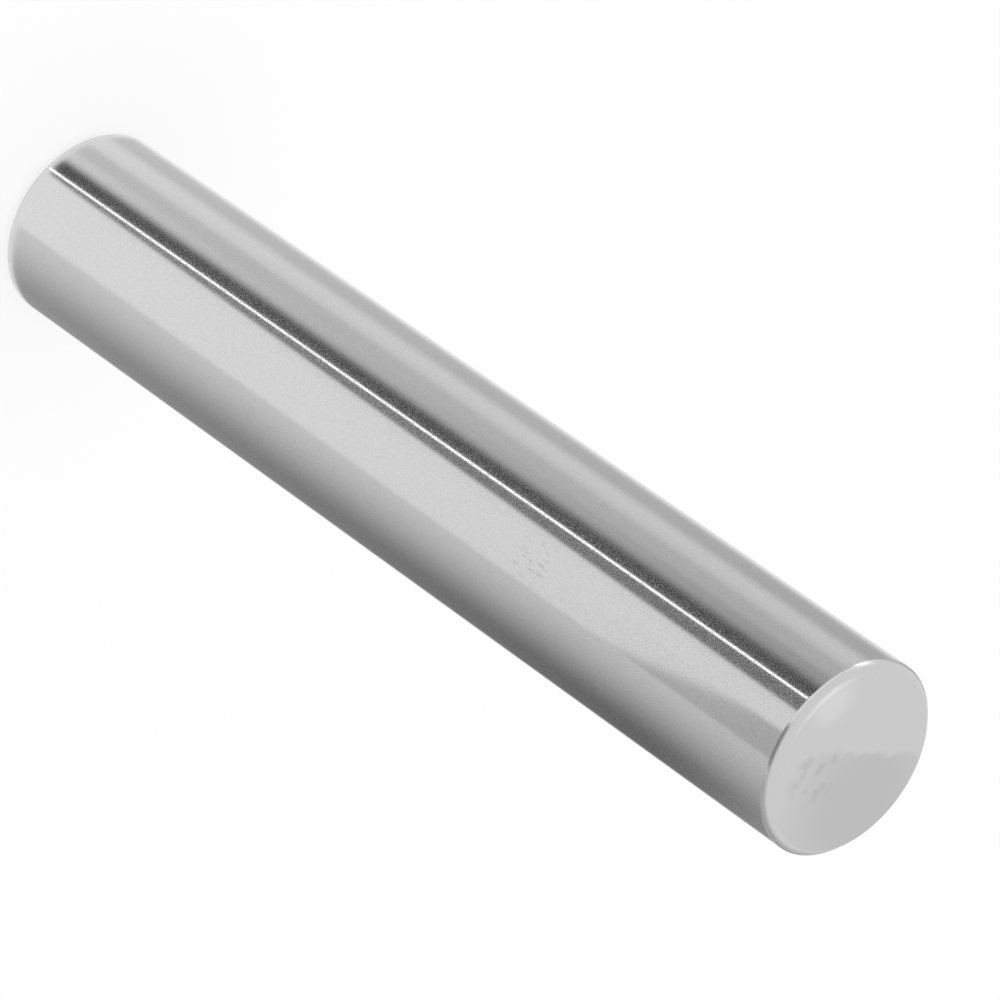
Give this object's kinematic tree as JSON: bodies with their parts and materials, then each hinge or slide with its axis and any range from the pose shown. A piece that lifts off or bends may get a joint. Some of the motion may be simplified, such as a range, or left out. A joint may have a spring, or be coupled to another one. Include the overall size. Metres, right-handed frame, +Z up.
{
  "type": "pin gauge",
  "caption": "Plain cylindrical steel pin that tests the diameter of a hole, with a lapped wall, flat ends and broken edges.",
  "frame": {"origin": "centre of the lower end face, on the surface that the pin stands on", "axes": "+Z up the pin's axis, from the lower end face to the upper one; X and Y are free, because the pin is round"},
  "size_m": [0.0088, 0.0088, 0.0508],
  "materials": {
    "lapped_steel": "hardened steel, ground and lapped to a near mirror on the wall, fine satin on the end faces"
  },
  "bodies": {
    "root": {"gauge_pin": "lapped_steel"}
  },
  "joints": []
}
